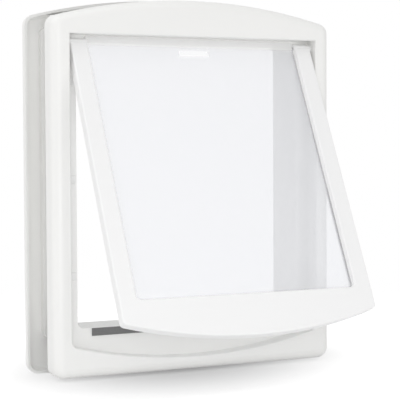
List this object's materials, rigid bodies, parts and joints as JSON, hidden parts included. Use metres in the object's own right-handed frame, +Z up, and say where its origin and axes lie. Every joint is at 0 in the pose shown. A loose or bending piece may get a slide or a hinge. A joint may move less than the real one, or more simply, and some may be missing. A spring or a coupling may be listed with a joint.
{
  "type": "pet door",
  "caption": "Pet door with an arched moulded frame on each face of a house door and a top-hung clear flap that swings outwards.",
  "frame": {"origin": "middle of the passage, in the plane of the leaf's outside face", "axes": "+X to the right seen from outside, +Y into the leaf towards the inside, +Z up"},
  "size_m": [0.297, 0.1864, 0.3493],
  "materials": {
    "white_plastic": "satin moulded white",
    "flap_plastic": "satin moulded white",
    "clear_plastic": "clear polished",
    "magnet_strip": "dark grey flexible magnet",
    "bumper": "soft white rubber",
    "steel": "zinc plated"
  },
  "bodies": {
    "frame": {"outside_frame": "white_plastic", "inside_frame": "white_plastic", "threshold_strip": "magnet_strip", "hinge_pin_left": "steel", "hinge_pin_right": "steel", "fixing_screws": "steel", "bumper_left_upper": "bumper", "bumper_left_middle": "bumper", "bumper_left_lower": "bumper", "bumper_right_upper": "bumper", "bumper_right_middle": "bumper", "bumper_right_lower": "bumper", "screw_cap_top_left": "white_plastic", "screw_cap_top_right": "white_plastic", "screw_cap_foot_left": "white_plastic", "screw_cap_foot_right": "white_plastic"},
    "flap": {"flap_border": "flap_plastic", "flap_back": "flap_plastic", "flap_panel": "clear_plastic", "flap_magnet": "magnet_strip"}
  },
  "joints": [
    {"name": "flap_hinge", "type": "hinge", "parent": "frame", "child": "flap", "pos_m": [0, -0.0095, 0.1269], "axis": [-1, 0, 0], "range_deg": [-25.8, 59.2]}
  ]
}
